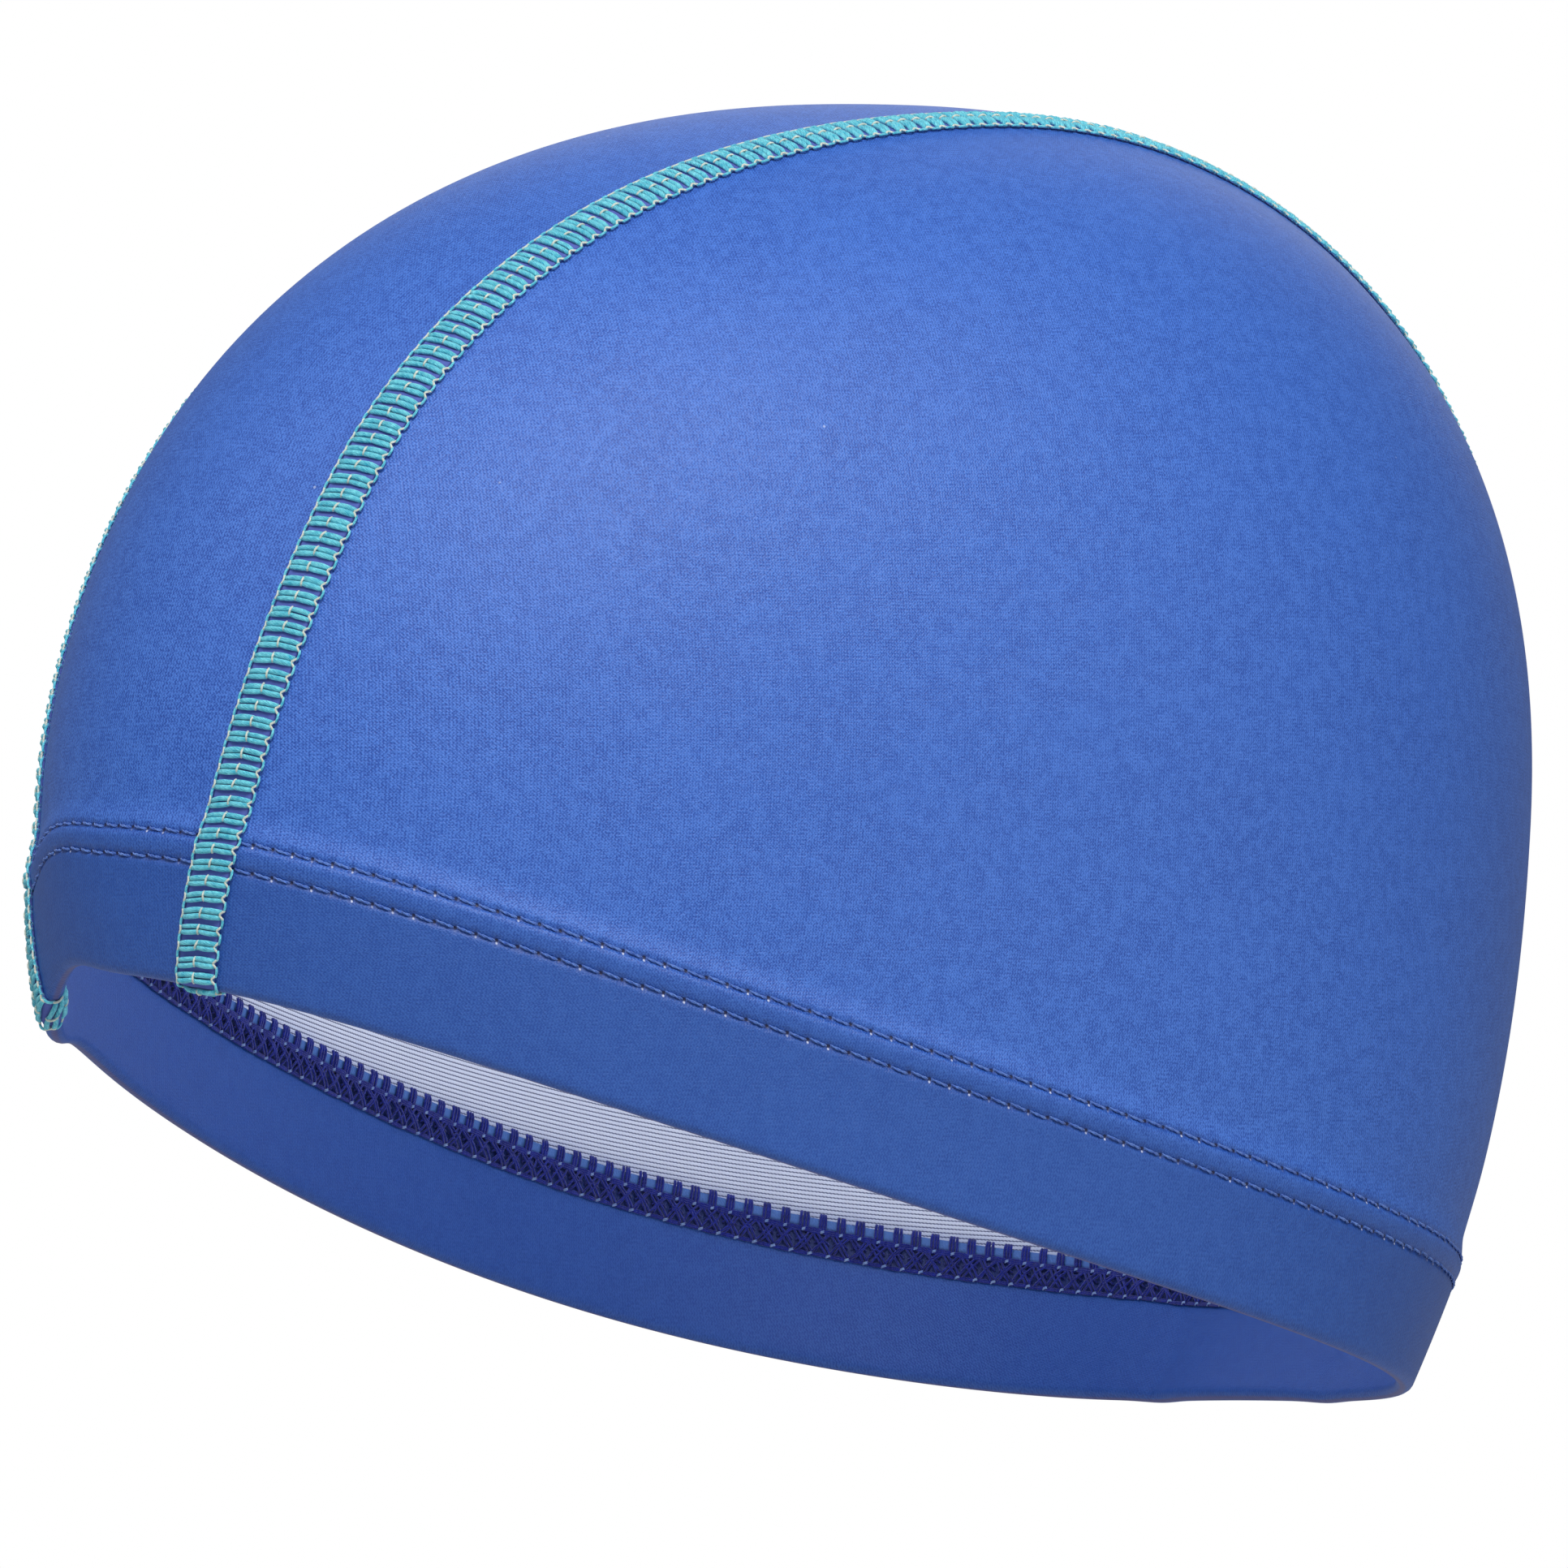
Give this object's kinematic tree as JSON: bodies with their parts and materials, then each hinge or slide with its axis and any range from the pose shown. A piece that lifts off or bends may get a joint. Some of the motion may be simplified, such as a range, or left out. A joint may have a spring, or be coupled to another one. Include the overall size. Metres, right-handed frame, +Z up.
{
  "type": "swim cap",
  "caption": "Close-fitting swim cap of rubber-coated knit: panels joined by raised flat seams over the crown, with a turned-in stitched hem.",
  "frame": {"origin": "inside top of the crown, where the cap sits on a head", "axes": "+Z up out of the crown, forehead towards -Y, nape towards +Y, sides alike about X = 0"},
  "size_m": [0.1558, 0.2009, 0.1656],
  "materials": {
    "coated_knit": "satin rubber-coated knit, mid blue outside, white with thin grey stripes inside",
    "seam_thread": "matt turquoise and cream flat seam thread",
    "cover_thread": "matt navy cover stitch thread"
  },
  "bodies": {
    "root": {"side_panel_right": "coated_knit", "side_panel_left": "coated_knit", "centre_panel": "coated_knit", "flatlock_seam_right": "seam_thread", "flatlock_seam_left": "seam_thread", "hem_coverstitch": "cover_thread"}
  },
  "joints": []
}
